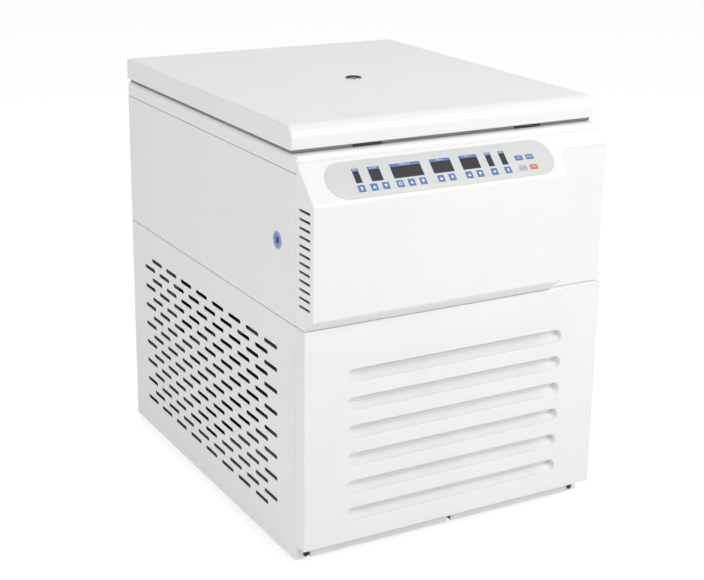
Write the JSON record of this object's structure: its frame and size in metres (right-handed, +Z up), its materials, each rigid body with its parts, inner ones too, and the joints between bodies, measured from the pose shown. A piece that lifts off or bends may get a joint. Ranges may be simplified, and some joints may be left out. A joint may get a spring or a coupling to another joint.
{
  "type": "high-speed centrifuge",
  "caption": "Floor-standing refrigerated high-speed centrifuge with a hinged lid, a fixed-angle rotor in a deep bowl, a sloping keypad console and a vented cabinet.",
  "frame": {"origin": "on the floor, under the middle of the whole machine's outline", "axes": "+Z up, -Y towards the user (console side), +X to the user's right"},
  "size_m": [0.64, 0.869, 0.8196],
  "materials": {
    "panel": "satin",
    "moulding": "satin",
    "overlay": "matte",
    "display": "satin",
    "key_blue": "satin",
    "key_grey": "matte",
    "key_red": "satin",
    "black_plastic": "matte",
    "rubber": "matte",
    "seal_rubber": "matte",
    "foam": "matte",
    "stainless": "satin",
    "zinc_steel": "satin",
    "copper": "satin",
    "aluminium": "satin",
    "anodised": "satin",
    "black_paint": "satin",
    "controller": "satin",
    "port_glass": "gloss"
  },
  "bodies": {
    "cabinet": {"base_tray": "panel", "lower_side_left": "panel", "lower_side_right": "panel", "upper_side_left": "panel", "upper_side_right": "panel", "rear_panel": "panel", "lower_front_panel": "panel", "console_fascia": "moulding", "top_frame": "moulding", "control_overlay": "overlay", "display_board": "display", "foot_front_left": "rubber", "foot_front_right": "rubber", "foot_rear_left": "rubber", "foot_rear_right": "rubber", "motor_damper": "rubber", "chamber_seal": "seal_rubber", "insulation": "foam", "chamber_bowl": "stainless", "hinge_bracket_left": "zinc_steel", "hinge_bracket_right": "zinc_steel", "evaporator_coil": "copper", "drive_motor": "aluminium", "condenser": "aluminium", "armour_deck": "black_paint", "fan_shroud": "black_paint", "compressor": "black_paint", "controller_box": "controller", "lid_lock": "black_plastic", "power_entry": "black_plastic", "release_escutcheon": "key_blue"},
    "lid": {"lid_shell": "panel", "lid_core": "foam", "lid_liner": "zinc_steel", "port_sleeve": "stainless", "port_glass": "port_glass"},
    "rotor": {"drive_shaft": "zinc_steel", "rotor": "anodised"},
    "rotor_lid": {"rotor_lid": "aluminium"},
    "rotor_knob": {"rotor_knob": "black_plastic"},
    "fan": {"fan": "black_plastic"},
    "latch": {"latch_bar": "zinc_steel", "release_plunger": "black_paint"},
    "power_rocker": {"power_rocker": "key_red"},
    "key_1": {"key_1": "key_blue"},
    "key_2": {"key_2": "key_blue"},
    "key_3": {"key_3": "key_blue"},
    "key_4": {"key_4": "key_blue"},
    "key_5": {"key_5": "key_blue"},
    "key_6": {"key_6": "key_blue"},
    "key_7": {"key_7": "key_blue"},
    "key_8": {"key_8": "key_blue"},
    "key_9": {"key_9": "key_blue"},
    "key_10": {"key_10": "key_blue"},
    "key_11": {"key_11": "key_blue"},
    "key_12": {"key_12": "key_blue"},
    "key_blue_left": {"key_blue_left": "key_blue"},
    "key_blue_right": {"key_blue_right": "key_blue"},
    "key_grey": {"key_grey": "key_grey"},
    "key_red": {"key_red": "key_red"}
  },
  "joints": [
    {"name": "lid_hinge", "type": "hinge", "parent": "cabinet", "child": "lid", "pos_m": [0, 0.4245, 0.7745], "axis": [-1, 0, 0], "range_deg": [0, 78]},
    {"name": "rotor_spin", "type": "hinge", "parent": "cabinet", "child": "rotor", "pos_m": [0, 0.0035, 0.5563], "axis": [0, 0, 1], "continuous": true},
    {"name": "rotor_lid_lift", "type": "slide", "parent": "rotor", "child": "rotor_lid", "axis": [0, 0, 1], "range_m": [0, 0.045]},
    {"name": "rotor_knob_turn", "type": "hinge", "parent": "rotor_lid", "child": "rotor_knob", "pos_m": [0, 0.0035, 0.7063], "axis": [0, 0, 1], "range_deg": [0, 1080]},
    {"name": "fan_spin", "type": "hinge", "parent": "cabinet", "child": "fan", "pos_m": [0, -0.2992, 0.1726], "axis": [0, 1, 0], "continuous": true},
    {"name": "latch_slide", "type": "slide", "parent": "cabinet", "child": "latch", "axis": [-1, 0, 0], "range_m": [0, 0.01]},
    {"name": "power_rocker_turn", "type": "hinge", "parent": "cabinet", "child": "power_rocker", "pos_m": [0.19, 0.4078, 0.1473], "axis": [1, 0, 0], "range_deg": [0, 20]},
    {"name": "key_1_press", "type": "slide", "parent": "cabinet", "child": "key_1", "axis": [0, 0.7042, -0.71], "range_m": [0, 0.0005], "stiffness_N_per_m": 3000},
    {"name": "key_2_press", "type": "slide", "parent": "cabinet", "child": "key_2", "axis": [0, 0.7042, -0.71], "range_m": [0, 0.0005], "stiffness_N_per_m": 3000},
    {"name": "key_3_press", "type": "slide", "parent": "cabinet", "child": "key_3", "axis": [0, 0.7042, -0.71], "range_m": [0, 0.0005], "stiffness_N_per_m": 3000},
    {"name": "key_4_press", "type": "slide", "parent": "cabinet", "child": "key_4", "axis": [0, 0.7042, -0.71], "range_m": [0, 0.0005], "stiffness_N_per_m": 3000},
    {"name": "key_5_press", "type": "slide", "parent": "cabinet", "child": "key_5", "axis": [0, 0.7042, -0.71], "range_m": [0, 0.0005], "stiffness_N_per_m": 3000},
    {"name": "key_6_press", "type": "slide", "parent": "cabinet", "child": "key_6", "axis": [0, 0.7042, -0.71], "range_m": [0, 0.0005], "stiffness_N_per_m": 3000},
    {"name": "key_7_press", "type": "slide", "parent": "cabinet", "child": "key_7", "axis": [0, 0.7042, -0.71], "range_m": [0, 0.0005], "stiffness_N_per_m": 3000},
    {"name": "key_8_press", "type": "slide", "parent": "cabinet", "child": "key_8", "axis": [0, 0.7042, -0.71], "range_m": [0, 0.0005], "stiffness_N_per_m": 3000},
    {"name": "key_9_press", "type": "slide", "parent": "cabinet", "child": "key_9", "axis": [0, 0.7042, -0.71], "range_m": [0, 0.0005], "stiffness_N_per_m": 3000},
    {"name": "key_10_press", "type": "slide", "parent": "cabinet", "child": "key_10", "axis": [0, 0.7042, -0.71], "range_m": [0, 0.0005], "stiffness_N_per_m": 3000},
    {"name": "key_11_press", "type": "slide", "parent": "cabinet", "child": "key_11", "axis": [0, 0.7042, -0.71], "range_m": [0, 0.0005], "stiffness_N_per_m": 3000},
    {"name": "key_12_press", "type": "slide", "parent": "cabinet", "child": "key_12", "axis": [0, 0.7042, -0.71], "range_m": [0, 0.0005], "stiffness_N_per_m": 3000},
    {"name": "key_blue_left_press", "type": "slide", "parent": "cabinet", "child": "key_blue_left", "axis": [0, 0.7042, -0.71], "range_m": [0, 0.0005], "stiffness_N_per_m": 3000},
    {"name": "key_blue_right_press", "type": "slide", "parent": "cabinet", "child": "key_blue_right", "axis": [0, 0.7042, -0.71], "range_m": [0, 0.0005], "stiffness_N_per_m": 3000},
    {"name": "key_grey_press", "type": "slide", "parent": "cabinet", "child": "key_grey", "axis": [0, 0.7042, -0.71], "range_m": [0, 0.0005], "stiffness_N_per_m": 3000},
    {"name": "key_red_press", "type": "slide", "parent": "cabinet", "child": "key_red", "axis": [0, 0.7042, -0.71], "range_m": [0, 0.0005], "stiffness_N_per_m": 3000}
  ]
}
